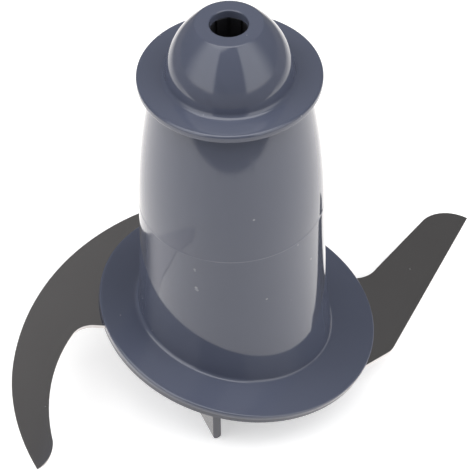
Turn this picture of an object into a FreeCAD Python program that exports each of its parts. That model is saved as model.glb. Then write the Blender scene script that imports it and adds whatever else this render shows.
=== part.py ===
import FreeCAD, Part
import math
import os

# Chopping blade of a food processor: a moulded hub and a moulded base plate that hold
# one flat steel stamping with two wings at a slant, and a drive sleeve inside the hub.
# Millimetres. The origin is on the hub's axis, in the plane that the base tube stands on.

Vector = FreeCAD.Vector

# hub, heights along the axis
total_height = 127.0      # base of the tube to the flat top
bell_height = 17.3        # flat top down to the brim
brim_thick = 2.4
step_drop = 63.1          # flat top down to the fine step round the barrel
flange_height = 18.7      # top of the slanted flange, on the axis
roof_drop = 7.5           # flat top down to the roof of the hollow

# hub, radii
top_bore_r = 5.2
top_face_r = 9.2
bell_base_r = 17.6
bell_bulge = 1.9          # how far the bell's arc stands off its chord
brim_r = 25.0
neck_r = 20.7             # barrel just below the brim
barrel_mid_r = 25.85      # barrel just above the fine step
barrel_bulge = 1.06
barrel_step = 0.12        # the barrel below the step is this much fuller
flare_r = 29.9            # the flared barrel's line, carried down to the floor
flare_hollow = 1.0        # how far that line's curve lies inside its chord
hub_wall = 2.4
roof_r = 12.7             # roof of the hollow, inside the bell

# hub, eased edges
top_round = 0.7
bell_fillet = 2.0
brim_ease = 0.6
foot_ease = 0.8           # where the barrel meets the flange
flange_ease = 0.45

# ribs inside the hub
rib_count = 6
rib_thick = 1.6
rib_foot_drop = 41.0      # flat top down to the ribs' lower edges

# drive sleeve
sleeve_r = 7.1
sleeve_bore_r = 4.9
sleeve_length = 46.0
sleeve_lip = 2.4          # depth of the hub's lip over the sleeve
sleeve_foot_r = 9.3
sleeve_foot_thick = 1.6
sleeve_gap = 0.05
collar_wall = 2.2
groove_count = 8
groove_width = 0.9
groove_depth = 0.5

# slanted flange and the stack under it
tilt_deg = 11.9
slope_turn_deg = -4.0     # the slope falls this far off +X, seen from above
flange_r = 40.3
flange_shift = 1.4        # the flange's centre lies this far down the slope from the axis
flange_thick = 1.5
blade_thick = 1.2
plate_thick = 1.2
plate_inset = 0.1         # the base plate's edge lies this far inside the flange's
plate_ease = 0.8
rim_width = 3.3           # wall round the base plate that closes the stack
shadow_gap = 0.3          # open line between flange and base plate, seen from outside
shadow_depth = 0.8
slot_gap = 0.15           # round the wings, where they leave through the wall

# steel blade
ring_gap = 0.5            # round the blade's ring, inside the base plate's wall
edge_thick = 0.25         # left at the cutting edges
bevel_width = 4.0         # ground on the underside
swing_r = 88.0            # reach of the wings, which their outlines are shares of

# curved wing, places in shares of swing_r: x down the slope, y across it
belly = (-0.6865, -0.388)         # furthest point of the cutting edge
root_arc_share = 1.010    # radius of the cutting edge from the hub to the belly
tip_arc_share = 0.756     # radius of the cutting edge from the belly to the tip
root_arc_deg = 55.8       # turn from the belly back to the heel
tip_arc_deg = 33.2        # turn from the belly to the tip
heel_r = 5.0
heel_turn_deg = 104.0
heel_reach = 6.0          # straight run from the heel into the ring
hook_middle = (-0.5285, -0.734)   # end face of the hooked tip
hook_end = (-0.5275, -0.681)
hollow_middle = (-0.558, -0.475)
hollow_end = (-0.512, -0.228)
neck_middle = (-0.489, -0.193)
neck_end = (-0.450, -0.172)
curved_root = (-0.354, -0.157)
bare_heel_deg = 12.0      # left unground at the heel
overrun_deg = 4.0         # the grinding runs out past the tip by this much

# straight wing, in the same way
straight_tip = (0.801, 0.6355)
straight_heel = (0.542, -0.050)
straight_heel_r = 8.0
straight_root = (0.359, -0.234)
end_middle = (0.715, 0.639)       # rounded far end
back_far = (0.6455, 0.589)
back_near = (0.482, 0.313)
back_turn = (0.458, 0.2775)
back_end = (0.418, 0.251)
back_root = (0.305, 0.207)
bare_heel_share = 0.06    # of the cutting side, left unground at the heel

# base plate
tube_r = 24.2
tube_wall = 1.8
tube_rise = 15.3          # above the flange's height, up inside the barrel
fit_gap = 0.2             # tube to hub and tube to blade
peg_count = 4
peg_r = 2.0
peg_rise = 0.7            # into the flange
peg_gap = 0.1

# vanes under the base plate
vane_count = 3
vane_thick = 2.4
vane_inset = 6.0          # the vanes' outer ends lie this far inside the flange's edge
vane_deg = -98.7
vane_sweep_deg = 31.0     # turned from the radius
vane_length = 14.5
vane_lift = 0.3           # above the plane that the tube stands on
vane_round = 1.15         # along the lower edges, nearly half the thickness

# worked out from the sizes above
brim_top = total_height - bell_height
brim_bottom = brim_top - brim_thick
step_height = total_height - step_drop
sleeve_top = total_height - sleeve_lip
sleeve_foot = sleeve_top - sleeve_length
collar_foot = sleeve_foot + sleeve_foot_thick
collar_r = sleeve_r + sleeve_gap + collar_wall
tube_top = flange_height + tube_rise
foot_reach_r = (flare_r + flange_r) / 2       # between the barrel's foot and the flange's rim
plate_r = flange_r - plate_inset
blade_ring_r = plate_r - rim_width - ring_gap
peg_circle_r = (tube_r + blade_ring_r) / 2
vane_reach_r = flange_r - vane_inset
root_arc_r = root_arc_share * swing_r
tip_arc_r = tip_arc_share * swing_r
blade_top = -flange_thick
plate_top = blade_top - blade_thick
plate_bottom = plate_top - plate_thick
slope = FreeCAD.Rotation(Vector(0, 0, 1), slope_turn_deg).multiply(FreeCAD.Rotation(Vector(0, 1, 0), tilt_deg))
slant = FreeCAD.Placement(Vector(0, 0, flange_height), slope)
far = 3 * flange_r        # reach of the cutting blocks, clear of the part
margin = 1.0              # how far the bevel cutters stand out of the steel
same = 0.01               # two sizes this close are the same


def line(start, end):
    return Part.makeLine(start, end)


def arc(start, middle, end):
    return Part.Arc(start, middle, end).toShape()


def polar(centre, radius, degrees):
    """point at an angle on a circle in the x-y plane"""
    turn = math.radians(degrees)
    return centre + Vector(radius * math.cos(turn), radius * math.sin(turn), 0)


def bulged(start, end, bulge):
    """arc in the x-z plane that stands off its chord by bulge, away from the axis"""
    chord = end - start
    out = Vector(-chord.z, 0, chord.x)
    if out.x < 0:
        out = out * -1
    out.normalize()
    return arc(start, (start + end) * 0.5 + out * bulge, end)


def flared(start, end, hollow):
    """curve in the x-z plane that lies inside its chord by hollow, towards the axis"""
    curve = Part.BezierCurve()
    curve.setPoles([start, (start + end) * 0.5 - Vector(2 * hollow, 0, 0), end])
    return curve.toShape()


def corner(before, point, after, radius):
    """arc that rounds a corner, tangent to both sides"""
    back = (before - point).normalize()
    on = (after - point).normalize()
    half = back.getAngle(on) / 2
    reach = radius / math.tan(half)
    towards = (back + on).normalize()
    middle = point + towards * (radius / math.sin(half) - radius)
    return arc(point + back * reach, middle, point + on * reach)


def face_of(edges):
    return Part.Face(Part.Wire(edges))


def chain(points):
    """straight edges through points, and back to the first"""
    pairs = zip(points, points[1:] + points[:1])
    return [line(start, end) for start, end in pairs if start.distanceToPoint(end) > same]


def rounded(edges, radii):
    """outline in the x-z plane with the corner after each edge rounded, 0 for a sharp one"""
    done = edges[:1]
    for edge, radius in zip(edges[1:], radii):
        if radius:
            maker = Part.ChFi2d.AnaFilletAlgo(done[-1], edge, Part.Plane(Vector(), Vector(0, 1, 0)))
            maker.perform(radius)
            rounding, before, edge = maker.result()
            done[-1:] = [before, rounding]
        done.append(edge)
    return done


def turned(edges):
    """solid of revolution about the z axis"""
    return face_of(edges).revolve(Vector(), Vector(0, 0, 1), 360)


def cylinder(radius, low, high):
    return Part.makeCylinder(radius, high - low, Vector(0, 0, low))


def on_slant(shape):
    """put a shape made level at the origin into the slanted plane"""
    shape.Placement = slant.multiply(shape.Placement)
    return shape


def slab(low, high):
    """wide block between two levels of the slanted plane"""
    return on_slant(Part.makeBox(2 * far, 2 * far, high - low, Vector(-far, -far, low)))


def disc(radius, low, high, low_ease=0.0, high_ease=0.0):
    """round plate about the flange's centre, with its edges eased"""
    corners = [Vector(0, 0, high),
               Vector(radius - high_ease, 0, high),
               Vector(radius, 0, high - high_ease),
               Vector(radius, 0, low + low_ease),
               Vector(radius - low_ease, 0, low),
               Vector(0, 0, low)]
    plate = turned(chain(corners))
    plate.translate(Vector(flange_shift, 0, 0))
    return plate


def barrel_foot_edges(shape):
    """edges on the flange's top where the barrel stands on it"""
    found = []
    level = slant.inverse()
    for edge in shape.Edges:
        middle = (edge.FirstParameter + edge.LastParameter) / 2
        points = [level.multVec(edge.valueAt(place)) for place in (edge.FirstParameter, middle)]
        if all(abs(point.z) < same and math.hypot(point.x, point.y) < foot_reach_r for point in points):
            found.append(edge)
    return found


def hub_outside():
    """bell, brim and barrel, down through the flange"""
    axis_top = Vector(0, 0, total_height)
    top = Vector(top_face_r, 0, total_height)
    bell_foot = Vector(bell_base_r, 0, brim_top)
    rim_top = Vector(brim_r - brim_ease, 0, brim_top)
    rim_high = Vector(brim_r, 0, brim_top - brim_ease)
    rim_low = Vector(brim_r, 0, brim_bottom + brim_ease)
    rim_bottom = Vector(brim_r - brim_ease, 0, brim_bottom)
    neck = Vector(neck_r, 0, brim_bottom)
    above_step = Vector(barrel_mid_r, 0, step_height)
    below_step = Vector(barrel_mid_r + barrel_step, 0, step_height)
    foot = Vector(flare_r, 0, 0)
    outline = [line(axis_top, top),
               bulged(top, bell_foot, bell_bulge),
               line(bell_foot, rim_top),
               line(rim_top, rim_high),
               line(rim_high, rim_low),
               line(rim_low, rim_bottom),
               line(rim_bottom, neck),
               bulged(neck, above_step, barrel_bulge),
               line(above_step, below_step),
               flared(below_step, foot, flare_hollow),
               line(foot, Vector()),
               line(Vector(), axis_top)]
    return turned(rounded(outline, [top_round, bell_fillet] + [0] * (len(outline) - 3)))


def hub_hollow():
    """room inside the hub, cored with straight tapers, less the collar round the sleeve"""
    corners = [Vector(0, 0, total_height - roof_drop),
               Vector(roof_r, 0, total_height - roof_drop),
               Vector(bell_base_r - hub_wall, 0, brim_top),
               Vector(neck_r - hub_wall, 0, brim_bottom),
               Vector(barrel_mid_r - hub_wall, 0, step_height),
               Vector(tube_r + fit_gap, 0, 0),
               Vector()]
    return turned(chain(corners)).cut(cylinder(collar_r, collar_foot, total_height))


def hub_ribs(room):
    """thin walls that tie the collar to the barrel, trimmed to the hollow"""
    foot = total_height - rib_foot_drop
    ribs = []
    for index in range(rib_count):
        rib = Part.makeBox(far, rib_thick, total_height - foot, Vector(0, -rib_thick / 2, foot))
        rib.rotate(Vector(0, 0, 0), Vector(0, 0, 1), 360.0 * index / rib_count)
        ribs.append(rib)
    return Part.makeCompound([room.common(rib) for rib in ribs])


def peg_places(height):
    step = 360.0 / peg_count
    return [polar(Vector(0, 0, height), peg_circle_r, step * (index + 0.5)) for index in range(peg_count)]


def pegs(radius, low, high):
    """round pegs, or the holes for them, square to the slanted plane"""
    posts = [Part.makeCylinder(radius, high - low, place) for place in peg_places(low)]
    return on_slant(Part.makeCompound(posts))


def hub():
    body = hub_outside().cut(slab(-far, blade_top))
    flange = on_slant(disc(flange_r, blade_top, 0, high_ease=flange_ease))
    body = body.fuse(flange).removeSplitter()
    body = body.makeChamfer(foot_ease, barrel_foot_edges(body))
    room = hub_hollow()
    ribs = hub_ribs(room)
    body = body.cut(room)
    body = body.fuse(ribs.Solids)
    body = body.cut(cylinder(tube_r + fit_gap, 0, tube_top))
    body = body.cut(cylinder(sleeve_r + sleeve_gap, collar_foot, sleeve_top))
    body = body.cut(cylinder(top_bore_r, sleeve_top, total_height))
    body = body.cut(pegs(peg_r + peg_gap, blade_top, blade_top + peg_rise))
    return body.removeSplitter()


def drive_sleeve():
    """long bush with a foot and drive grooves along its bore"""
    body = cylinder(sleeve_r, sleeve_foot, sleeve_top)
    body = body.fuse(cylinder(sleeve_foot_r, sleeve_foot, collar_foot)).removeSplitter()
    body = body.cut(cylinder(sleeve_bore_r, sleeve_foot, sleeve_top))
    for index in range(groove_count):
        groove = Part.makeBox(sleeve_bore_r + groove_depth, groove_width, sleeve_length,
                              Vector(0, -groove_width / 2, sleeve_foot))
        groove.rotate(Vector(0, 0, 0), Vector(0, 0, 1), 360.0 * index / groove_count)
        body = body.cut(groove)
    return body


def spot(place):
    """point of a wing's outline from its shares of the wings' reach"""
    return Vector(place[0] * swing_r, place[1] * swing_r, 0)


def root_arc_centre():
    return spot(belly) + Vector(root_arc_r, 0, 0)


def tip_arc_centre():
    return spot(belly) + Vector(tip_arc_r, 0, 0)


def curved_wing():
    """sickle: two arcs on the cutting side, a hooked end and a hollow back"""
    root = root_arc_centre()
    heel_deg = 180 - root_arc_deg
    heel = polar(root, root_arc_r, heel_deg)
    tip = polar(tip_arc_centre(), tip_arc_r, 180 + tip_arc_deg)
    heel_centre = polar(root, root_arc_r - heel_r, heel_deg)
    heel_end = polar(heel_centre, heel_r, heel_deg - heel_turn_deg)
    inside = polar(heel_end, heel_reach, heel_deg - heel_turn_deg - 90)
    return face_of([
        arc(heel, polar(root, root_arc_r, 180 - root_arc_deg / 2), spot(belly)),
        arc(spot(belly), polar(tip_arc_centre(), tip_arc_r, 180 + tip_arc_deg / 2), tip),
        arc(tip, spot(hook_middle), spot(hook_end)),
        arc(spot(hook_end), spot(hollow_middle), spot(hollow_end)),
        arc(spot(hollow_end), spot(neck_middle), spot(neck_end)),
        line(spot(neck_end), spot(curved_root)),
        line(spot(curved_root), inside),
        line(inside, heel_end),
        arc(heel_end, polar(heel_centre, heel_r, heel_deg - heel_turn_deg / 2), heel)])


def straight_wing():
    """straight cutting side, a rounded far end and a straight back with a curved root"""
    root = spot(straight_root)
    tip = spot(straight_tip)
    rounding = corner(root, spot(straight_heel), tip, straight_heel_r)
    first = rounding.Vertexes[0].Point
    last = rounding.Vertexes[-1].Point
    return face_of([
        arc(tip, spot(end_middle), spot(back_far)),
        line(spot(back_far), spot(back_near)),
        arc(spot(back_near), spot(back_turn), spot(back_end)),
        line(spot(back_end), spot(back_root)),
        line(spot(back_root), root),
        line(root, first),
        rounding,
        line(last, tip)])


def wedge(outward, edge_point):
    """bevel's section at a point of the cutting edge, a little oversize outside"""
    low = plate_top - margin
    slope = (blade_thick - edge_thick) / bevel_width
    inner = edge_point - outward * (bevel_width + margin / slope)
    outer = edge_point + outward * margin
    edge_level = blade_top - edge_thick
    corners = [Vector(inner.x, inner.y, low),
               Vector(outer.x, outer.y, low),
               Vector(outer.x, outer.y, edge_level + slope * margin)]
    return Part.Face(Part.makePolygon(corners + corners[:1]))


def bevels():
    """ground flats under the cutting edges"""
    axis = Vector(0, 0, 1)
    section = wedge(Vector(-1, 0, 0), spot(belly))
    along_root = section.revolve(root_arc_centre(), axis, bare_heel_deg - root_arc_deg)
    along_tip = section.revolve(tip_arc_centre(), axis, tip_arc_deg + overrun_deg)
    heel = spot(straight_heel)
    run = spot(straight_tip) - heel
    out = Vector(run.y, -run.x, 0).normalize()
    straight = wedge(out, heel + run * bare_heel_share).extrude(run)
    return [along_root, along_tip, straight]


def blade():
    """one flat stamping: a ring with two wings, holes for the pegs and ground edges"""
    body = disc(blade_ring_r, plate_top, blade_top)
    for wing in (curved_wing(), straight_wing()):
        flat = wing.extrude(Vector(0, 0, blade_thick))
        flat.translate(Vector(0, 0, plate_top))
        body = body.fuse(flat)
    body = body.removeSplitter()
    for cutter in bevels():
        body = body.cut(cutter)
    body = on_slant(body)
    body = body.cut(pegs(peg_r + peg_gap, plate_top, blade_top))
    body = body.cut(cylinder(tube_r + fit_gap, 0, tube_top))
    return body.removeSplitter()


def wing_slots():
    """ways out for the wings through the base plate's wall"""
    height = blade_thick + shadow_gap
    cuts = []
    for wing in (curved_wing(), straight_wing()):
        wide = wing.makeOffset2D(slot_gap).extrude(Vector(0, 0, height))
        wide.translate(Vector(0, 0, plate_top))
        cuts.append(on_slant(wide))
    return cuts


def vane():
    """upright wall under the plate with a round lower edge, along x from its outer end"""
    wall = Part.makeBox(vane_length, vane_thick, flange_height, Vector(0, -vane_thick / 2, vane_lift))
    lower = [edge for edge in wall.Edges
             if edge.BoundBox.ZMax < vane_lift + same and edge.Length > vane_length - same]
    return wall.makeFillet(vane_round, lower)


def vanes():
    """a ring of vanes, each turned from the radius, trimmed at the plate's underside"""
    walls = []
    for index in range(vane_count):
        turn = vane_deg + 360.0 * index / vane_count
        wall = vane()
        wall.rotate(Vector(0, 0, 0), Vector(0, 0, 1), turn + 180 + vane_sweep_deg)
        wall.translate(polar(Vector(0, 0, 0), vane_reach_r, turn))
        walls.append(wall.common(slab(-far, plate_bottom + plate_thick / 2)))
    return walls


def base_plate():
    """slanted plate with a wall round its edge, a tube through it, pegs and vanes"""
    shadow = blade_top - shadow_gap
    plate = disc(plate_r, plate_bottom, shadow, low_ease=plate_ease)
    plate = plate.fuse(disc(plate_r - shadow_depth, shadow, blade_top)).removeSplitter()
    plate = plate.cut(disc(plate_r - rim_width, plate_top, blade_top))
    plate = on_slant(plate).cut(wing_slots())
    body = plate.fuse(cylinder(tube_r, 0, tube_top))
    body = body.fuse(vanes())
    body = body.fuse(pegs(peg_r, plate_top, blade_top + peg_rise).Solids)
    return body.cut(cylinder(tube_r - tube_wall, 0, tube_top)).removeSplitter()


def main():
    os.makedirs("parts", exist_ok=True)
    pieces = {"hub": hub(), "drive_sleeve": drive_sleeve(), "blade": blade(), "base_plate": base_plate()}
    for name, shape in pieces.items():
        box = shape.BoundBox
        print(name, "solids", len(shape.Solids), "valid", shape.isValid(), "volume %.0f" % shape.Volume,
              "z %.2f to %.2f" % (box.ZMin, box.ZMax), "x %.1f to %.1f" % (box.XMin, box.XMax))
        shape.exportStep("parts/%s.step" % name)


main()
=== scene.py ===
import math

import bpy
import numpy as np
from mathutils import Matrix, Vector


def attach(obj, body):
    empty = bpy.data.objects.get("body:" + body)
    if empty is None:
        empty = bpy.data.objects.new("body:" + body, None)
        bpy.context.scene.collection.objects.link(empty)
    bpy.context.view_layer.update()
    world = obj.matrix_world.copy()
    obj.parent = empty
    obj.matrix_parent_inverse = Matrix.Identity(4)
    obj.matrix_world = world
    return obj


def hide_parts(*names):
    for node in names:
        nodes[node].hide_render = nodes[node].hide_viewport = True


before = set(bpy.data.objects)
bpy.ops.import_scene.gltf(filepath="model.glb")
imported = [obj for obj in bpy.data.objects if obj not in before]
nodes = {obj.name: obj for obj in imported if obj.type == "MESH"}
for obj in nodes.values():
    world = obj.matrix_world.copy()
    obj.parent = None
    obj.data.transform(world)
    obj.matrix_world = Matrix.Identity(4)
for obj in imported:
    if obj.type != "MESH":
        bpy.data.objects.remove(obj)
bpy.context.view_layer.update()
print("frame loaded:", sorted(nodes))

mm = 0.001


def meshPiece(name, points, faces, material):
    # a smooth mesh object at the origin, its place in its points, riding on the one body
    mesh = bpy.data.meshes.new(name)
    mesh.from_pydata((np.asarray(points, float) * mm).tolist(), [], np.asarray(faces, int).tolist())
    mesh.validate()
    mesh.update()
    mesh.polygons.foreach_set("use_smooth", np.full(len(mesh.polygons), True))
    mesh.materials.append(material)
    piece = bpy.data.objects.new(name, mesh)
    bpy.context.scene.collection.objects.link(piece)
    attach(piece, "root")
    return piece


# the slanted plane that holds flange, blade and base plate, in millimetres and degrees
slanted = {
    "height": 18.7,        # on the axis
    "tilt": 11.9,
    "turn": -4.0,          # off +X, towards which the plane falls
    "shift": 1.4,          # of the round flange, down the slope
}

turnAngle = math.radians(slanted["turn"])
tiltAngle = math.radians(slanted["tilt"])
downSlope = np.array([math.cos(turnAngle) * math.cos(tiltAngle),
                      math.sin(turnAngle) * math.cos(tiltAngle), -math.sin(tiltAngle)])
acrossSlope = np.array([-math.sin(turnAngle), math.cos(turnAngle), 0.0])
slopeNormal = np.cross(downSlope, acrossSlope)
slopeCentre = np.array([0.0, 0.0, slanted["height"]])


def columnAngles(count):
    # angles around the axis, counted from the way that the slope falls
    return np.linspace(0, 2 * math.pi, count, endpoint=False)


def levelLoop(angles, radius, height):
    # (r cos(a + turn), r sin(a + turn), z), with r and z numbers or arrays over the angles
    around = angles + turnAngle
    radius = np.broadcast_to(radius, around.shape)
    height = np.broadcast_to(height, around.shape)
    return np.stack([radius * np.cos(around), radius * np.sin(around), height], axis=1)


def slopeHeight(angles, radius, lift):
    # height where a vertical line meets the plane that lies lift above the slanted one
    fall = radius * np.cos(angles) * math.sin(tiltAngle)
    return slanted["height"] + (lift - fall) / math.cos(tiltAngle)


def rimLoop(angles, radius, lift):
    # centre + normal * lift + downSlope * (shift + r cos a) + acrossSlope * r sin a
    down = slanted["shift"] + radius * np.cos(angles)
    across = radius * np.sin(angles)
    return slopeCentre + slopeNormal * lift + down[:, None] * downSlope + across[:, None] * acrossSlope


def arcPoints(centre, radius, first, last, count):
    # centre + radius * (cos a, sin a), a from first to last
    turn = np.linspace(first, last, count)
    return np.stack([centre[0] + radius * np.cos(turn), centre[1] + radius * np.sin(turn)], axis=1)


def bulgedCircle(start, end, bulge):
    # centre and radius of the arc that stands off its chord by bulge, away from the axis
    start, end = np.array(start), np.array(end)
    chord = end - start
    length = np.hypot(*chord)
    out = np.array([-chord[1], chord[0]]) / length
    out = out * np.sign(out[0])
    radius = (length ** 2 / 4 + bulge ** 2) / (2 * bulge)
    return (start + end) / 2 + out * (bulge - radius), radius


def angleTo(centre, point):
    return math.atan2(point[1] - centre[1], point[0] - centre[0])


def besideLevel(centre, radius, reach, level):
    # centre of a rounding: reach beside the circle's line and on the given level, outside the axis
    height = level - centre[1]
    return np.array([centre[0] + math.sqrt((radius + reach) ** 2 - height ** 2), level])


def gridFaces(rows, columns, closed):
    # quads between neighbouring loops; closed also joins the last loop to the first
    row = np.arange(rows if closed else rows - 1)[:, None]
    column = np.arange(columns)[None, :]
    after = (column + 1) % columns
    below = (row + 1) % rows
    corners = [row * columns + column, below * columns + column,
               below * columns + after, row * columns + after]
    shape = (len(row), columns)
    return np.stack([np.broadcast_to(part, shape) for part in corners], axis=-1).reshape(-1, 4)


def cornerLoops(corner, before, after, reach, count):
    # rounding between two straight sides in every column: corner and both side directions
    # are (columns, 2) arrays of radius and height; the circle touches both sides
    before = before / np.linalg.norm(before, axis=1, keepdims=True)
    after = after / np.linalg.norm(after, axis=1, keepdims=True)
    half = np.arccos(np.clip((before * after).sum(axis=1), -1, 1)) / 2
    towards = before + after
    towards = towards / np.linalg.norm(towards, axis=1, keepdims=True)
    centre = corner + towards * (reach / np.sin(half))[:, None]
    first = corner + before * (reach / np.tan(half))[:, None] - centre
    last = corner + after * (reach / np.tan(half))[:, None] - centre
    sweep = math.pi - 2 * half
    loops = []
    for share in np.linspace(0, 1, count):
        mixed = first * np.sin(sweep * (1 - share))[:, None] + last * np.sin(sweep * share)[:, None]
        loops.append(centre + mixed / np.sin(sweep)[:, None])
    return loops


def socketColor(color):
    return (color[0], color[1], color[2], 1.0)


def newMaterial(name):
    material = bpy.data.materials.new(name)
    material.use_nodes = True
    tree = material.node_tree
    shader = tree.nodes["Principled BSDF"]
    return material, tree, shader


def mathNode(tree, operation, first, second=None):
    # one Math node; each input is a number or another node's output
    made = tree.nodes.new("ShaderNodeMath")
    made.operation = operation
    for place, value in enumerate((first, second)):
        if value is None:
            continue
        if isinstance(value, (int, float)):
            made.inputs[place].default_value = value
        else:
            tree.links.new(value, made.inputs[place])
    return made.outputs[0]


def noiseNode(tree, place, scale, detail=2.0, roughness=0.5):
    made = tree.nodes.new("ShaderNodeTexNoise")
    made.inputs["Detail"].default_value = detail
    made.inputs["Roughness"].default_value = roughness
    made.inputs["Scale"].default_value = scale
    tree.links.new(place, made.inputs["Vector"])
    return made.outputs["Fac"]


def rangeNode(tree, value, low, high, newLow, newHigh):
    # smooth step from newLow at low to newHigh at high
    made = tree.nodes.new("ShaderNodeMapRange")
    made.interpolation_type = "SMOOTHSTEP"
    for name, number in (("From Min", low), ("From Max", high), ("To Min", newLow), ("To Max", newHigh)):
        made.inputs[name].default_value = number
    tree.links.new(value, made.inputs["Value"])
    return made.outputs["Result"]


def groupWith(name, inputs, outputs):
    # an empty node group with float or color sockets of the given names and first values
    group = bpy.data.node_groups.new(name, "ShaderNodeTree")
    for label, kind, value in inputs:
        made = group.interface.new_socket(name=label, in_out="INPUT", socket_type=kind)
        if value is not None:
            made.default_value = value
    for label, kind in outputs:
        group.interface.new_socket(name=label, in_out="OUTPUT", socket_type=kind)
    return group, group.nodes.new("NodeGroupInput"), group.nodes.new("NodeGroupOutput")


def scatteredDots(group, place, scales, full, gone, share):
    # dots round the points of a cell pattern, kept in few of the cells; uneven scales stretch them
    stretch = group.nodes.new("ShaderNodeMapping")
    stretch.inputs["Scale"].default_value = scales
    group.links.new(place, stretch.inputs["Vector"])
    cells = group.nodes.new("ShaderNodeTexVoronoi")
    cells.inputs["Scale"].default_value = 1.0
    group.links.new(stretch.outputs["Vector"], cells.inputs["Vector"])
    dot = rangeNode(group, cells.outputs["Distance"], full, gone, 1.0, 0.0)
    chosen = group.nodes.new("ShaderNodeSeparateColor")
    group.links.new(cells.outputs["Color"], chosen.inputs["Color"])
    rare = rangeNode(group, chosen.outputs["Red"], share, share + 0.01, 0.0, 1.0)
    return mathNode(group, "MULTIPLY", dot, rare)


# the wear that all finishes share, and a painted highlight line at the hub's fine step, with places in
# metres
wearAndHighlightLook = {
    "cloudScale": 70.0, "fineScale": 900.0,
    "streakStretch": (1.0, 1.0, 0.06), "streakTurn": (0.5, 0.3, 0.0), "streakScale": 700.0,
    "streakFrom": (0.64, 0.74),        # noise levels between which a streak comes in
    # cells per metre along x, y and z, distances off a cell's point at which its dot is full
    # and gone, and the share of the cells that have none
    "specks": ((430.0, 430.0, 430.0), 0.05, 0.11, 0.97),
    "scuffs": ((310.0, 310.0, 45.0), 0.03, 0.09, 0.95),
    # a painted highlight: a pale line round the barrel at the fine step, at this height
    "ringHeight": 0.0639,
    "ringLine": (0.00008, 0.00022),    # distances off that height at which the painted highlight line is full and gone
    "ringBreaks": (0.35, 0.6, 0.35, 1.0),    # two cloud levels, and the painted highlight line's strength at them
    "markGrain": (0.3, 0.6, 0.6, 1.0),       # two fine noise levels, and a mark's strength at them
    "speckRoughness": 0.4,
    # pale colour of dust specks and marks, also used to paint the highlight line at the step
    "dustAndHighlight": (0.55, 0.56, 0.58),
}


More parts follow.
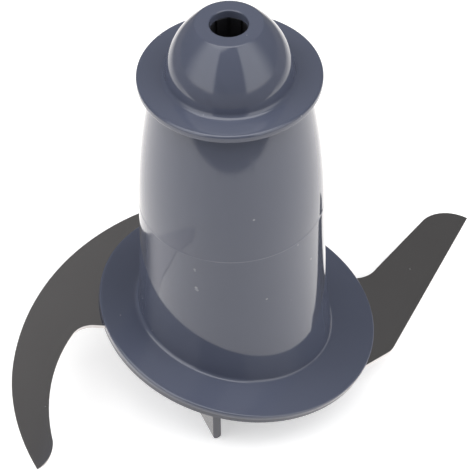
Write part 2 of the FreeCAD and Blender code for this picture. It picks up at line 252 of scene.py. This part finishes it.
def wearAndHighlightGroup():
    # uneven gloss, faint streaks, sparse pale specks, a painted highlight line along the fine step, and
    # marks on any finish:
    # roughness = base + uneven * (cloud - 0.5) + streaks * streak + speck roughness * (specks, painted
    # highlight and marks);
    # color = base * (1 + mottle * (cloud - 0.5)), mixed towards pale dust by the specks and marks, and
    # towards the same pale colour by the painted highlight line
    s = wearAndHighlightLook
    number, tint, vector = "NodeSocketFloat", "NodeSocketColor", "NodeSocketVector"
    group, given, result = groupWith(
        "wearAndRingHighlight",
        [("Place", vector, None), ("Color", tint, (0.5, 0.5, 0.5, 1)), ("Roughness", number, 0.2),
         ("Uneven", number, 0.05), ("Streaks", number, 0.05), ("Specks", number, 0.5),
         ("Mottle", number, 0.04), ("Ring", number, 0.0),
         ("RingHeight", number, s["ringHeight"]), ("Marks", number, 0.0)],
        [("Color", tint), ("Roughness", number), ("Height", number)])
    place = given.outputs["Place"]
    cloud = noiseNode(group, place, s["cloudScale"], 3.0)
    fine = noiseNode(group, place, s["fineScale"], 2.0)
    stretch = group.nodes.new("ShaderNodeMapping")
    stretch.inputs["Scale"].default_value = s["streakStretch"]
    stretch.inputs["Rotation"].default_value = s["streakTurn"]
    group.links.new(place, stretch.inputs["Vector"])
    streak = noiseNode(group, stretch.outputs["Vector"], s["streakScale"], 1.0)
    streak = rangeNode(group, streak, *s["streakFrom"], 0.0, 1.0)
    speckAndHighlight = scatteredDots(group, place, *s["specks"])
    scuff = scatteredDots(group, place, *s["scuffs"])
    speckAndHighlight = mathNode(group, "MULTIPLY", mathNode(group, "MAXIMUM", speckAndHighlight, scuff), given.outputs["Specks"])
    parts = group.nodes.new("ShaderNodeSeparateXYZ")
    group.links.new(place, parts.inputs["Vector"])
    off = mathNode(group, "SUBTRACT", parts.outputs["Z"], given.outputs["RingHeight"])
    off = mathNode(group, "ABSOLUTE", off)
    # painted highlight: a pale line at the step's height, weaker where the cloud is low
    ringHighlight = rangeNode(group, off, *s["ringLine"], 1.0, 0.0)
    ringHighlight = mathNode(group, "MULTIPLY", ringHighlight, rangeNode(group, cloud, *s["ringBreaks"]))
    speckAndHighlight = mathNode(group, "MAXIMUM", speckAndHighlight, mathNode(group, "MULTIPLY", ringHighlight, given.outputs["Ring"]))
    grain = rangeNode(group, fine, *s["markGrain"])
    speckAndHighlight = mathNode(group, "MAXIMUM", speckAndHighlight, mathNode(group, "MULTIPLY", given.outputs["Marks"], grain))
    around = mathNode(group, "SUBTRACT", cloud, 0.5)
    shift = mathNode(group, "MULTIPLY", around, given.outputs["Uneven"])
    rough = mathNode(group, "ADD", given.outputs["Roughness"], shift)
    rough = mathNode(group, "ADD", rough, mathNode(group, "MULTIPLY", streak, given.outputs["Streaks"]))
    rough = mathNode(group, "ADD", rough, mathNode(group, "MULTIPLY", speckAndHighlight, s["speckRoughness"]))
    mottle = mathNode(group, "MULTIPLY", around, given.outputs["Mottle"])
    tone = group.nodes.new("ShaderNodeMix")
    tone.data_type = "RGBA"
    tone.blend_type = "MULTIPLY"
    tone.inputs["Factor"].default_value = 1.0
    group.links.new(given.outputs["Color"], tone.inputs["A"])
    level = mathNode(group, "ADD", mottle, 1.0)
    joined = group.nodes.new("ShaderNodeCombineColor")
    for label in ("Red", "Green", "Blue"):
        group.links.new(level, joined.inputs[label])
    group.links.new(joined.outputs["Color"], tone.inputs["B"])
    # mixes towards the pale colour: dust for specks and marks, painted highlight for the ring line
    dustAndHighlightMix = group.nodes.new("ShaderNodeMix")
    dustAndHighlightMix.data_type = "RGBA"
    dustAndHighlightMix.inputs["B"].default_value = socketColor(s["dustAndHighlight"])
    group.links.new(speckAndHighlight, dustAndHighlightMix.inputs["Factor"])
    group.links.new(tone.outputs["Result"], dustAndHighlightMix.inputs["A"])
    group.links.new(dustAndHighlightMix.outputs["Result"], result.inputs["Color"])
    group.links.new(rough, result.inputs["Roughness"])
    group.links.new(fine, result.inputs["Height"])
    return group


wearAndRingHighlight = wearAndHighlightGroup()


def marksNode(tree, place, marks):
    # the strongest of round marks: full inside half their size, gone at their size
    level = None
    for x, y, z, size, strength in marks:
        away = tree.nodes.new("ShaderNodeVectorMath")
        away.operation = "DISTANCE"
        away.inputs[1].default_value = (x * mm, y * mm, z * mm)
        tree.links.new(place, away.inputs[0])
        mark = rangeNode(tree, away.outputs["Value"], size * mm / 2, size * mm, strength, 0.0)
        level = mark if level is None else mathNode(tree, "MAXIMUM", level, mark)
    return level


def wornAndHighlightedMaterial(name, look):
    # a finish with the wear and painted highlight group: its outputs feed color, roughness and the bump's
    # height
    material, tree, shader = newMaterial(name)
    shader.inputs["IOR"].default_value = look["ior"]
    shader.inputs["Metallic"].default_value = look["metallic"]
    places = tree.nodes.new("ShaderNodeTexCoord")
    use = tree.nodes.new("ShaderNodeGroup")
    use.node_tree = wearAndRingHighlight
    use.inputs["Color"].default_value = socketColor(look["color"])
    for label in ("Roughness", "Uneven", "Streaks", "Specks", "Mottle", "Ring"):
        use.inputs[label].default_value = look[label.lower()]
    tree.links.new(places.outputs["Object"], use.inputs["Place"])
    marked = marksNode(tree, places.outputs["Object"], look["marks"])
    if marked is not None:
        tree.links.new(marked, use.inputs["Marks"])
    tree.links.new(use.outputs["Color"], shader.inputs["Base Color"])
    tree.links.new(use.outputs["Roughness"], shader.inputs["Roughness"])
    bump = tree.nodes.new("ShaderNodeBump")
    bump.inputs["Distance"].default_value = look["bump"]
    bump.inputs["Strength"].default_value = 1.0
    tree.links.new(use.outputs["Height"], bump.inputs["Height"])
    tree.links.new(bump.outputs["Normal"], shader.inputs["Normal"])
    return material


hubLook = {
    "color": (0.103, 0.1155, 0.166), "ior": 1.72, "metallic": 0.0, "roughness": 0.07,
    # ring is the strength of the painted highlight line along the barrel's fine step
    "uneven": 0.05, "streaks": 0.06, "specks": 0.5, "mottle": 0.05, "bump": 0.0000004, "ring": 0.16,
    # marks that the photo shows: place and size in millimetres, strength
    "marks": (
        (-10.39, -23.75, 59.31, 0.50, 0.35), (-10.35, -23.8, 58.8, 0.40, 0.25),
        (-10.15, -24.0, 52.3, 0.60, 0.40), (-9.85, -24.15, 51.5, 0.55, 0.45),
        (-10.3, -23.95, 51.6, 0.40, 0.30), (9.26, -24.46, 47.87, 0.45, 0.30),
        (21.72, -14.31, 52.98, 0.45, 0.35), (5.89, -24.35, 78.65, 0.45, 0.40),
        (23.70, -10.46, 61.25, 0.40, 0.40), (17.93, -18.69, 63.06, 0.50, 0.25),
        (24.95, -7.03, 59.35, 0.40, 0.40),
    ),
}
plateLook = dict(hubLook, color=(0.108, 0.114, 0.145), roughness=0.12, ring=0.0, marks=())
steelLook = {
    "color": (0.62, 0.60, 0.60), "ior": 1.5, "metallic": 1.0, "roughness": 0.16,
    "uneven": 0.03, "streaks": 0.03, "specks": 0.0, "mottle": 0.06, "bump": 0.0000004, "ring": 0.0,
    "marks": ((53.21, 26.10, 6.36, 0.45, 0.5), (-52.39, -44.71, 27.52, 0.40, 0.35)),
}
sleeveLook = {
    "color": (0.013, 0.013, 0.015), "ior": 1.5, "metallic": 0.0, "roughness": 0.45,
    "uneven": 0.05, "streaks": 0.0, "specks": 0.0, "mottle": 0.05, "bump": 0.000004, "ring": 0.0,
    "marks": (),
}

hubPlastic = wornAndHighlightedMaterial("hubPlastic", hubLook)
platePlastic = wornAndHighlightedMaterial("platePlastic", plateLook)
bladeSteel = wornAndHighlightedMaterial("bladeSteel", steelLook)
sleevePlastic = wornAndHighlightedMaterial("sleevePlastic", sleeveLook)


def dress(name, material):
    slots = nodes[name].data.materials
    if len(slots):
        slots[0] = material
    else:
        slots.append(material)


dress("hub", hubPlastic)
dress("base_plate", platePlastic)
dress("blade", bladeSteel)
dress("drive_sleeve", sleevePlastic)
print("materials given")


# the hub's moulding, in millimetres
hubShape = {
    "columns": 256,
    "top": 127.0, "boreRadius": 5.2, "boreFoot": 124.6, "topRadius": 9.2,
    "bellRadius": 17.6, "bellBulge": 1.9, "brimTop": 109.7, "brimBottom": 107.3,
    "brimRadius": 25.0, "neckRadius": 20.7, "stepHeight": 63.9, "midRadius": 25.85,
    "barrelBulge": 1.06, "stepOut": 0.05, "stepTall": 0.30,
    "flareRadius": 29.9, "flareHollow": 1.0,
    "rimRadius": 40.6, "rimThick": 1.5,
    "boreRound": 0.35, "topRound": 0.7, "bellRound": 1.4, "brimRound": 0.7, "neckRound": 0.5,
    "footRound": 0.9, "rimRound": 0.5, "rimCrease": 0.12,
    "footClear": 0.4,      # from the foot's rounding up to the flare's last loop
    "lip": 0.5,            # from the socket out to the first loop of the flange's underside
    "socketRadius": 24.4, "socketTop": 34.0, "wall": 2.4, "roof": 119.5, "roofRadius": 12.7,
    "collarRadius": 9.35, "collarFoot": 80.2, "sleeveRadius": 7.15,
    "ribCount": 6, "ribThick": 1.6, "ribFoot": 86.0, "ribSink": 0.4,
}


def hubUpperLine():
    # radius and height of the outside from the bore over bell, brim and barrel to the fine step
    s = hubShape
    bellCentre, bellCircle = bulgedCircle((s["topRadius"], s["top"]),
                                          (s["bellRadius"], s["brimTop"]), s["bellBulge"])
    barrelCentre, barrelCircle = bulgedCircle((s["neckRadius"], s["brimBottom"]),
                                              (s["midRadius"], s["stepHeight"]), s["barrelBulge"])
    quarter = math.pi / 2
    boreAt = (s["boreRadius"] + s["boreRound"], s["top"] - s["boreRound"])
    topAt = besideLevel(bellCentre, bellCircle, -s["topRound"], s["top"] - s["topRound"])
    bellAt = besideLevel(bellCentre, bellCircle, s["bellRound"], s["brimTop"] + s["bellRound"])
    neckAt = besideLevel(barrelCentre, barrelCircle, s["neckRound"], s["brimBottom"] - s["neckRound"])
    rimIn = s["brimRadius"] - s["brimRound"]
    bellFrom = angleTo(bellCentre, topAt)
    bellTo = angleTo(bellCentre, bellAt)
    barrelFrom = angleTo(barrelCentre, neckAt)
    barrelTo = angleTo(barrelCentre, (s["midRadius"], s["stepHeight"] + s["stepTall"]))
    flatMiddle = (s["boreRadius"] + s["topRadius"]) / 2
    return np.concatenate([
        [(s["boreRadius"], s["boreFoot"]), (s["boreRadius"], s["boreFoot"] + 0.03),
         (s["boreRadius"], s["boreFoot"] + 1.0)],
        arcPoints(boreAt, s["boreRound"], 2 * quarter, quarter, 5),
        [(flatMiddle - 0.8, s["top"]), (flatMiddle + 0.8, s["top"])],
        arcPoints(topAt, s["topRound"], quarter, bellFrom, 7),
        arcPoints(bellCentre, bellCircle, bellFrom, bellTo, 40)[1:-1],
        arcPoints(bellAt, s["bellRound"], bellTo + math.pi, 3 * quarter, 9),
        [(bellAt[0] + 1.0, s["brimTop"]), (rimIn - 1.0, s["brimTop"])],
        arcPoints((rimIn, s["brimTop"] - s["brimRound"]), s["brimRound"], quarter, 0, 7),
        arcPoints((rimIn, s["brimBottom"] + s["brimRound"]), s["brimRound"], 0, -quarter, 7),
        [(rimIn - 0.8, s["brimBottom"]), (neckAt[0] + 0.5, s["brimBottom"])],
        arcPoints(neckAt, s["neckRound"], quarter, barrelFrom + math.pi, 5),
        arcPoints(barrelCentre, barrelCircle, barrelFrom, barrelTo, 60)[1:],
        [(s["midRadius"], s["stepHeight"] + s["stepTall"] * 0.8),
         (s["midRadius"] + 0.8 * s["stepOut"], s["stepHeight"] + 0.2 * s["stepTall"]),
         (s["midRadius"] + s["stepOut"], s["stepHeight"])]])


def flareAt(share):
    # radius, height and slope of the flare at its share t:
    # r = start + 2 t (control - start) + t^2 (start - 2 control + end), z = step height * (1 - t)
    s = hubShape
    start = s["midRadius"] + s["stepOut"]
    control = (start + s["flareRadius"]) / 2 - 2 * s["flareHollow"]
    radius = start + 2 * share * (control - start) + share ** 2 * (start - 2 * control + s["flareRadius"])
    slope = 2 * (control - start) + 2 * share * (start - 2 * control + s["flareRadius"])
    return radius, s["stepHeight"] * (1 - share), slope / s["stepHeight"]


def flareFoot(angles, lift):
    # share t at which the flare meets the plane above the slanted one by lift, by Newton steps
    share = np.full(angles.shape, 0.7)
    for step in range(8):
        radius, height, slope = flareAt(share)
        gap = height - slopeHeight(angles, radius, lift)
        change = -hubShape["stepHeight"] * (1 - slope * np.cos(angles) * math.tan(tiltAngle))
        share = share - gap / change
    return share


def hubLoops(angles):
    # all loops of the hub's skin, from the bore over the outside and through the inside back to the bore
    s = hubShape
    loops = [levelLoop(angles, radius, height) for radius, height in hubUpperLine()]
    foot = flareFoot(angles, 0.0)
    radius, height, slope = flareAt(foot)
    corner = np.stack([radius, height], axis=1)
    upward = np.stack([-slope, np.ones_like(slope)], axis=1)
    outward = np.stack([np.ones_like(slope), -np.cos(angles) * math.tan(tiltAngle)], axis=1)
    rounding = cornerLoops(corner, upward, outward, s["footRound"], 7)
    top = flareFoot(angles, s["footRound"] + s["footClear"])
    for share in np.append(0.004, np.linspace(0, 1, 40)[1:]):
        radius, height, slope = flareAt(top * share)
        loops.append(levelLoop(angles, radius, height))
    loops += [levelLoop(angles, part[:, 0], part[:, 1]) for part in rounding]
    inner = loops[-1]
    outer = rimLoop(angles, s["rimRadius"] - s["rimRound"], 0.0)
    loops += [inner + (outer - inner) * share for share in (0.06, 0.35, 0.65, 0.94)]
    for turn in np.linspace(0, math.pi / 2, 7):
        loops.append(rimLoop(angles, s["rimRadius"] - s["rimRound"] * (1 - math.sin(turn)),
                             -s["rimRound"] * (1 - math.cos(turn))))
    loops.append(rimLoop(angles, s["rimRadius"], -s["rimThick"] + s["rimCrease"]))
    loops.append(rimLoop(angles, s["rimRadius"] - s["rimCrease"], -s["rimThick"]))
    loops.append(rimLoop(angles, s["rimRadius"] - 5 * s["rimCrease"], -s["rimThick"]))
    lip = s["socketRadius"] + s["lip"]
    loops.append(levelLoop(angles, lip, slopeHeight(angles, lip, -s["rimThick"])))
    edge = slopeHeight(angles, s["socketRadius"], -s["rimThick"])
    for share in (0.0, 0.04, 0.5, 0.96, 1.0):
        loops.append(levelLoop(angles, s["socketRadius"], edge + (s["socketTop"] - edge) * share))
    inside = [(s["socketRadius"] - 0.15, s["socketTop"])]
    narrowing = (s["socketRadius"] - s["midRadius"] + s["wall"]) * s["socketTop"] / s["stepHeight"]
    corners = [(s["socketRadius"] - narrowing, s["socketTop"]),
               (s["midRadius"] - s["wall"], s["stepHeight"]),
               (s["neckRadius"] - s["wall"], s["brimBottom"]),
               (s["bellRadius"] - s["wall"], s["brimTop"]),
               (s["roofRadius"], s["roof"]),
               (s["collarRadius"], s["roof"]),
               (s["collarRadius"], s["collarFoot"]),
               (s["sleeveRadius"], s["collarFoot"]),
               (s["sleeveRadius"], s["boreFoot"])]
    held = 0.2             # loops this close to each corner keep the flats flat
    for here, there in zip(corners, corners[1:] + [(s["boreRadius"], s["boreFoot"])]):
        here, there = np.array(here), np.array(there)
        way = (there - here) / np.hypot(*(there - here))
        inside += [tuple(here), tuple(here + way * held), tuple(there - way * held)]
    loops += [levelLoop(angles, radius, height) for radius, height in inside]
    return loops


def ribMesh(start):
    # thin closed walls between collar and barrel: a grid of heights by four corners, ends capped
    s = hubShape
    inner = s["collarRadius"] - s["ribSink"]
    lower = s["midRadius"] - s["wall"]
    upper = s["neckRadius"] - s["wall"]
    share = (s["ribFoot"] - s["stepHeight"]) / (s["brimBottom"] - s["stepHeight"])
    outline = [(lower + (upper - lower) * share, s["ribFoot"]), (upper, s["brimBottom"]),
               (s["bellRadius"] - s["wall"], s["brimTop"]), (s["roofRadius"], s["roof"])]
    points, faces = [], []
    for index in range(s["ribCount"]):
        turn = 2 * math.pi * index / s["ribCount"]
        along = np.array([math.cos(turn), math.sin(turn), 0])
        beside = np.array([-math.sin(turn), math.cos(turn), 0]) * s["ribThick"] / 2
        first = start + len(points)
        for radius, height in outline:
            rise = np.array([0, 0, height + (s["ribSink"] if height == s["roof"] else 0)])
            outer = along * (radius + s["ribSink"]) + rise
            near = along * inner + rise
            points += [near - beside, outer - beside, outer + beside, near + beside]
        for level in range(len(outline) - 1):
            low, high = first + 4 * level, first + 4 * level + 4
            for side in range(4):
                after = (side + 1) % 4
                faces.append((low + side, low + after, high + after, high + side))
        last = first + 4 * (len(outline) - 1)
        faces += [(first + 3, first + 2, first + 1, first), (last, last + 1, last + 2, last + 3)]
    return points, faces


def makeHub():
    angles = columnAngles(hubShape["columns"])
    loops = hubLoops(angles)
    grid = np.concatenate(loops)
    faces = gridFaces(len(loops), len(angles), True)
    ribPoints, ribFaces = ribMesh(len(grid))
    piece = meshPiece("hubShell", np.concatenate([grid, ribPoints]), np.concatenate([faces, ribFaces]),
                      hubPlastic)
    flat = len(piece.data.polygons) - len(ribFaces)
    smooth = np.full(len(piece.data.polygons), True)
    smooth[flat:] = False
    piece.data.polygons.foreach_set("use_smooth", smooth)
    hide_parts("hub")
    print("hub:", len(piece.data.polygons), "faces")


makeHub()


lightLook = {
    "ambient": 0.01,       # of the world, for everything but gloss
    "glossDark": 0.12,     # of the world in the gloss, outside the bright surrounds
    "glossPanel": 1.27,    # tall bright surrounds at both sides of the front
    "panelFrom": (24.0, 31.0),   # degrees from the front, where they fade in
    "panelTo": (60.0, 94.0),     # and out again
    "panelHigh": (0.74, 0.93),   # sine of the height, where they end
    "patches": (
        # round bright patches: degrees from the front towards +X, degrees up, level,
        # and the cosine of the angle off the middle where they fade in
        (-55.0, 70.0, 1.65, 0.86, 0.93),
        (0.0, 88.0, 2.1, 0.86, 0.92),
        (180.0, 42.0, 0.22, 0.92, 0.99),
    ),
    "boxes": (
        # name, degrees from the front towards +X, degrees up, power in watts
        ("highLeft", -90.0, 58.0, 3.0),
        ("highRight", 90.0, 58.0, 2.5),
        ("lowLeft", -90.0, 30.0, 3.8),
        ("lowRight", 90.0, 30.0, 2.2),
        ("topLeft", -60.0, 70.0, 3.8),
        ("topRight", 60.0, 70.0, 2.5),
        ("frontLeft", -60.0, 35.0, 1.8),
        ("frontRight", 60.0, 35.0, 3.5),
    ),
    "boxSize": (1.0, 0.8),
    "distance": 1.2,
    "aim": 0.06,           # height that the boxes face
}


floorLook = {
    "size": 6.0,
    "color": 0.85,
    "seenGlow": 0.50,      # added for camera and transmission rays, up to 1 far away
    "farGloss": 0.26,      # how bright the gloss shows the floor away from the object
    "frontGloss": 1.0,     # and the round bright part that the object stands on, before it
    "backGloss": 1.65,     # and behind it
    "glossTint": (1.0, 0.975, 0.955),
    "nearCentre": (0.0, 0.28, 0.0),
    "nearRadius": 0.499,   # of the round bright part
    "soft": 0.006,         # of its edge, to both sides
    "sideFade": (0.22, 0.44),    # distances between which it fades out beside and behind the object
    "sideFrom": (1.1, 1.6),      # radians off the front between which that fading comes in
    "backFrom": (0.0, 2.3),      # and between which the front's level turns into the back's
    "panelFoot": (0.9, 2.6),     # distances between which the bright surrounds' foot comes in
    "glowReach": (0.6, 1.8),     # and the glow that the camera sees
}


def aroundAndHeight(tree, vector):
    # angle from the front, 0 to pi at both sides alike, and the height of a direction or place
    parts = tree.nodes.new("ShaderNodeSeparateXYZ")
    tree.links.new(vector, parts.inputs["Vector"])
    side = mathNode(tree, "ABSOLUTE", parts.outputs["X"])
    front = mathNode(tree, "MULTIPLY", parts.outputs["Y"], -1.0)
    return mathNode(tree, "ARCTAN2", side, front), parts.outputs["Z"]


def panelShare(tree, around):
    # 1 where the bright surrounds stand, by the angle from the front
    s = lightLook
    rise = rangeNode(tree, around, *(math.radians(angle) for angle in s["panelFrom"]), 0.0, 1.0)
    fall = rangeNode(tree, around, *(math.radians(angle) for angle in s["panelTo"]), 1.0, 0.0)
    return mathNode(tree, "MULTIPLY", rise, fall)


def whiteFloor():
    half = floorLook["size"] / 2
    mesh = bpy.data.meshes.new("floor")
    corners = [(-half, -half, 0), (half, -half, 0), (half, half, 0), (-half, half, 0)]
    mesh.from_pydata(corners, [], [(0, 1, 2, 3)])
    floor = bpy.data.objects.new("floor", mesh)
    bpy.context.scene.collection.objects.link(floor)
    material, tree, shader = newMaterial("floorWhite")
    shader.inputs["Base Color"].default_value = socketColor((floorLook["color"],) * 3)
    shader.inputs["Roughness"].default_value = 0.9
    shader.inputs["Specular IOR Level"].default_value = 0.0
    path = tree.nodes.new("ShaderNodeLightPath")
    places = tree.nodes.new("ShaderNodeTexCoord")
    away = tree.nodes.new("ShaderNodeVectorMath")
    away.operation = "DISTANCE"
    away.inputs[1].default_value = floorLook["nearCentre"]
    tree.links.new(places.outputs["Object"], away.inputs[0])
    edge, soft = floorLook["nearRadius"], floorLook["soft"]
    far, front, back = floorLook["farGloss"], floorLook["frontGloss"], floorLook["backGloss"]
    around = aroundAndHeight(tree, places.outputs["Object"])[0]
    near = rangeNode(tree, around, *floorLook["backFrom"], front - far, back - far)
    inside = rangeNode(tree, away.outputs["Value"], edge - soft, edge + soft, 1.0, 0.0)
    spread = tree.nodes.new("ShaderNodeVectorMath")
    spread.operation = "LENGTH"
    tree.links.new(places.outputs["Object"], spread.inputs[0])
    faded = rangeNode(tree, spread.outputs["Value"], *floorLook["sideFade"], 0.0, 1.0)
    faded = mathNode(tree, "MULTIPLY", faded, rangeNode(tree, around, *floorLook["sideFrom"], 0.0, 1.0))
    inside = mathNode(tree, "MULTIPLY", inside, mathNode(tree, "SUBTRACT", 1.0, faded))
    gloss = mathNode(tree, "ADD", mathNode(tree, "MULTIPLY", near, inside), far)
    rise = lightLook["glossPanel"] - far
    foot = rangeNode(tree, away.outputs["Value"], *floorLook["panelFoot"], 0.0, rise)
    gloss = mathNode(tree, "ADD", gloss, mathNode(tree, "MULTIPLY", foot, panelShare(tree, around)))
    glossy = path.outputs["Is Glossy Ray"]
    seen = mathNode(tree, "MAXIMUM", path.outputs["Is Camera Ray"], path.outputs["Is Transmission Ray"])
    level = rangeNode(tree, away.outputs["Value"], *floorLook["glowReach"], floorLook["seenGlow"], 1.0)
    glow = mathNode(tree, "MULTIPLY", seen, level)
    glow = mathNode(tree, "ADD", glow, mathNode(tree, "MULTIPLY", gloss, glossy))
    tree.links.new(glow, shader.inputs["Emission Strength"])
    tone = tree.nodes.new("ShaderNodeMix")
    tone.data_type = "RGBA"
    tone.inputs["A"].default_value = socketColor((floorLook["color"],) * 3)
    tone.inputs["B"].default_value = (0, 0, 0, 1)
    tree.links.new(glossy, tone.inputs["Factor"])
    tree.links.new(tone.outputs["Result"], shader.inputs["Base Color"])
    glowTone = tree.nodes.new("ShaderNodeMix")
    glowTone.data_type = "RGBA"
    glowTone.inputs["A"].default_value = (1, 1, 1, 1)
    glowTone.inputs["B"].default_value = socketColor(floorLook["glossTint"])
    tree.links.new(glossy, glowTone.inputs["Factor"])
    tree.links.new(glowTone.outputs["Result"], shader.inputs["Emission Color"])
    mesh.materials.append(material)


whiteFloor()


def wayOut(turn, rise):
    # direction from degrees off the front towards +X and degrees up
    turn, rise = math.radians(turn), math.radians(rise)
    return Vector((math.sin(turn) * math.cos(rise), -math.cos(turn) * math.cos(rise), math.sin(rise)))


def surroundings(tree):
    # world level in the gloss by direction: bright surrounds and patches, else dark
    s = lightLook
    way = tree.nodes.new("ShaderNodeTexCoord")
    around, height = aroundAndHeight(tree, way.outputs["Generated"])
    low = rangeNode(tree, height, *s["panelHigh"], s["glossPanel"] - s["glossDark"], 0.0)
    level = mathNode(tree, "ADD", mathNode(tree, "MULTIPLY", panelShare(tree, around), low), s["glossDark"])
    for turn, rise, bright, edge, full in s["patches"]:
        towards = tree.nodes.new("ShaderNodeVectorMath")
        towards.operation = "DOT_PRODUCT"
        towards.inputs[1].default_value = wayOut(turn, rise)
        tree.links.new(way.outputs["Generated"], towards.inputs[0])
        patch = rangeNode(tree, towards.outputs["Value"], edge, full, 0.0, bright)
        level = mathNode(tree, "MAXIMUM", level, patch)
    return level


def studioLight():
    world = bpy.data.worlds.new("studio")
    bpy.context.scene.world = world
    world.use_nodes = True
    tree = world.node_tree
    ground = tree.nodes["Background"]
    ground.inputs["Color"].default_value = (1, 1, 1, 1)
    path = tree.nodes.new("ShaderNodeLightPath")
    glossy = path.outputs["Is Glossy Ray"]
    gloss = mathNode(tree, "MULTIPLY", surroundings(tree), glossy)
    other = mathNode(tree, "MULTIPLY", mathNode(tree, "SUBTRACT", 1.0, glossy), lightLook["ambient"])
    total = mathNode(tree, "MAXIMUM", mathNode(tree, "ADD", gloss, other), path.outputs["Is Camera Ray"])
    tree.links.new(total, ground.inputs["Strength"])
    aim = Vector((0, 0, lightLook["aim"]))
    for name, around, above, power in lightLook["boxes"]:
        lamp = bpy.data.lights.new(name, "AREA")
        lamp.shape = "RECTANGLE"
        lamp.size, lamp.size_y = lightLook["boxSize"]
        lamp.energy = power
        box = bpy.data.objects.new(name, lamp)
        bpy.context.scene.collection.objects.link(box)
        out = wayOut(around, above)
        box.location = aim + out * lightLook["distance"]
        box.rotation_euler = (-out).to_track_quat("-Z", "Y").to_euler()
        box.visible_camera = False
        box.visible_glossy = False


studioLight()
print("floor and light set")


cameraLook = {
    "place": (0.0, -0.52781, 0.58198),
    "pitch": 45.309,       # degrees below level
    "yaw": 0.0854,
    "roll": -0.8501,
    "lens": 203.775,
}


def photoCamera():
    camera = bpy.data.cameras.new("camera")
    camera.sensor_width = 36
    camera.lens = cameraLook["lens"]
    camera.clip_start = 0.01
    camera.clip_end = 20
    seat = bpy.data.objects.new("camera", camera)
    bpy.context.scene.collection.objects.link(seat)
    pitch, yaw, roll = (math.radians(cameraLook[key]) for key in ("pitch", "yaw", "roll"))
    forward = Vector((math.sin(yaw) * math.cos(pitch), math.cos(yaw) * math.cos(pitch), -math.sin(pitch)))
    side = Vector((math.cos(yaw), -math.sin(yaw), 0))
    above = side.cross(forward)
    right = side * math.cos(roll) + above * math.sin(roll)
    up = above * math.cos(roll) - side * math.sin(roll)
    turn = Matrix((right, up, -forward)).transposed().to_4x4()
    seat.matrix_world = Matrix.Translation(cameraLook["place"]) @ turn
    bpy.context.scene.camera = seat


photoCamera()
bpy.context.scene.view_settings.view_transform = "Standard"
print("camera set")
